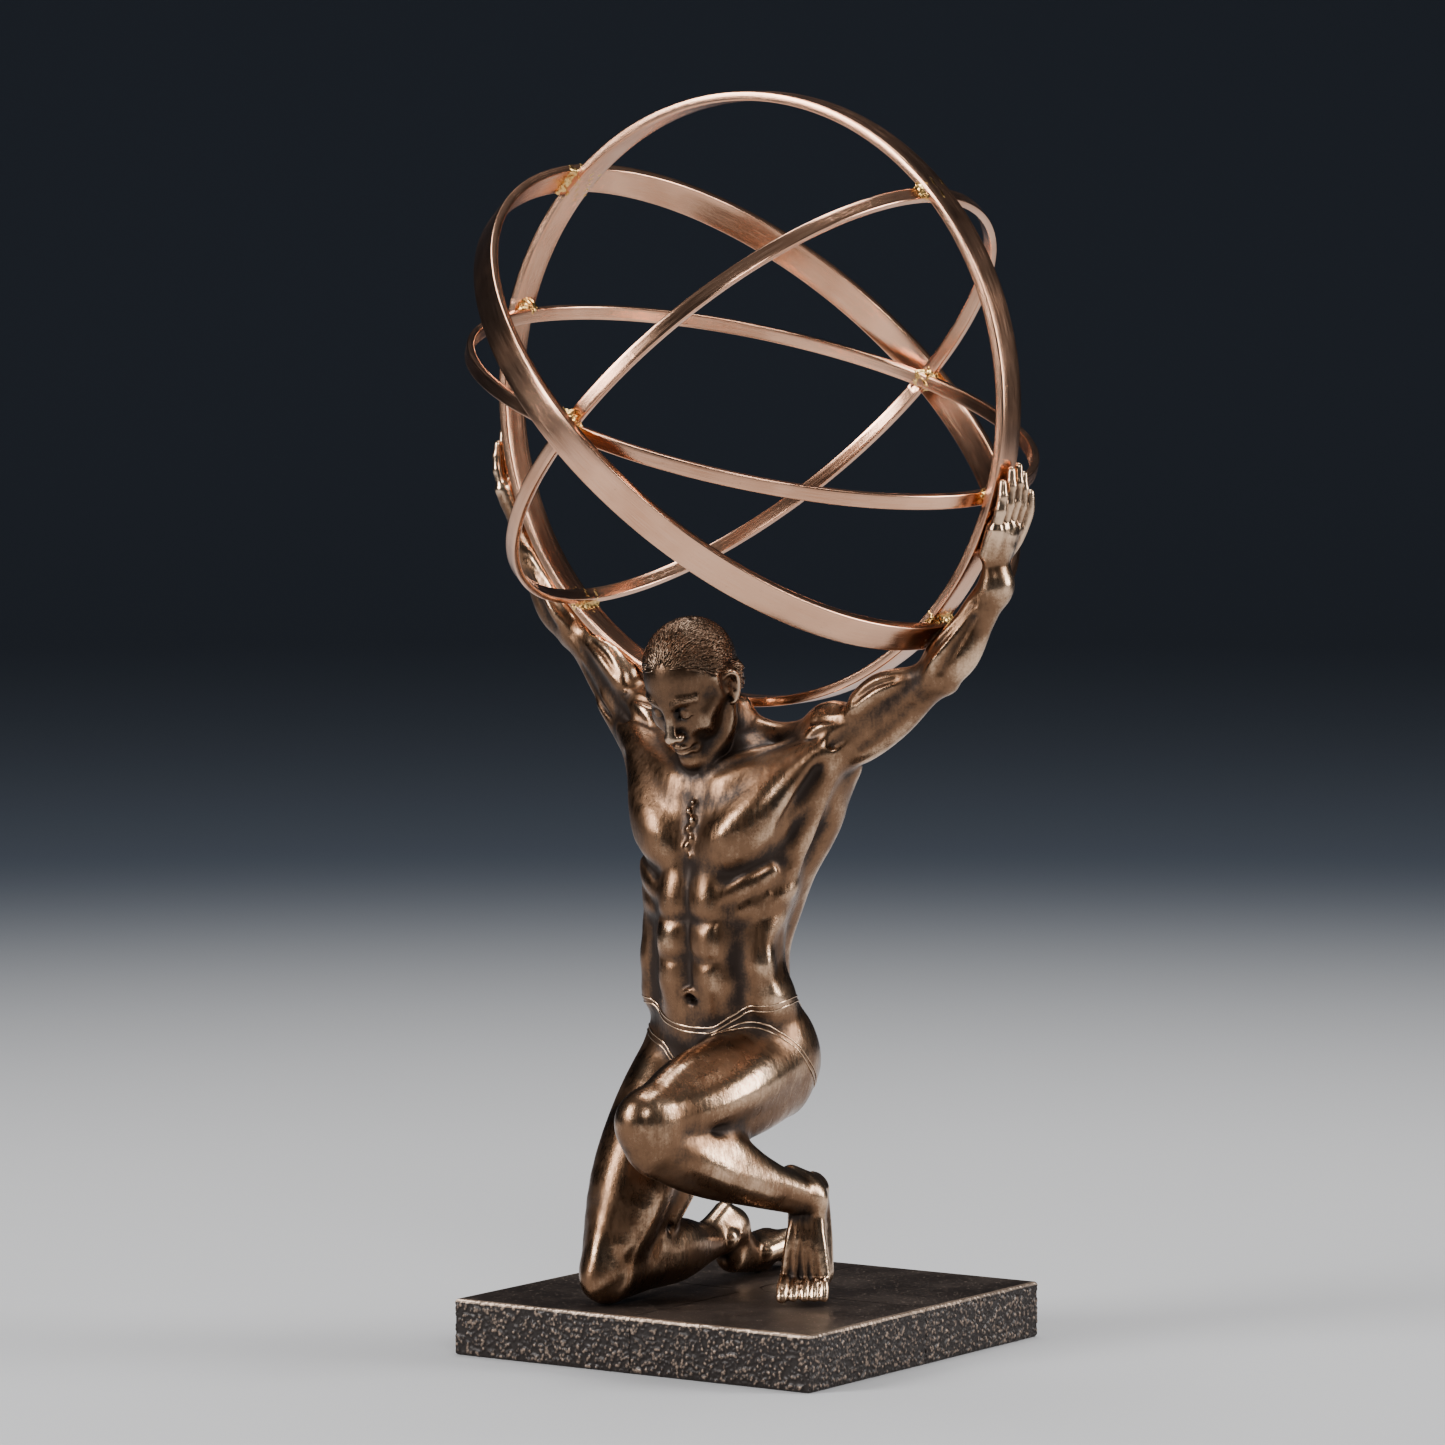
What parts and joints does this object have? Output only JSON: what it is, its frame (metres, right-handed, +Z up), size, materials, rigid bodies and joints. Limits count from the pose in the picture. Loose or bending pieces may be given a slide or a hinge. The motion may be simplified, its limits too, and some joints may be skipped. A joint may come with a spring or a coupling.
{
  "type": "atlas statue",
  "caption": "Kneeling bronze-finished male figure on a square plinth, holding up a globe of crossed rose-gold metal bands.",
  "frame": {"origin": "middle of the plinth's underside", "axes": "+Z up, the figure faces -Y, +X at the figure's left hand"},
  "size_m": [0.1476, 0.1491, 0.2953],
  "materials": {
    "plinth": "dark bronze, grainy sides",
    "figure": "brushed bronze over resin",
    "ring_girdle": "satin rose gold",
    "ring_slope": "satin rose gold",
    "ring_counter": "satin rose gold",
    "ring_halo": "satin rose gold"
  },
  "bodies": {
    "root": {"plinth": "plinth", "figure": "figure", "ring_girdle": "ring_girdle", "ring_slope": "ring_slope", "ring_counter": "ring_counter", "ring_halo": "ring_halo"}
  },
  "joints": []
}
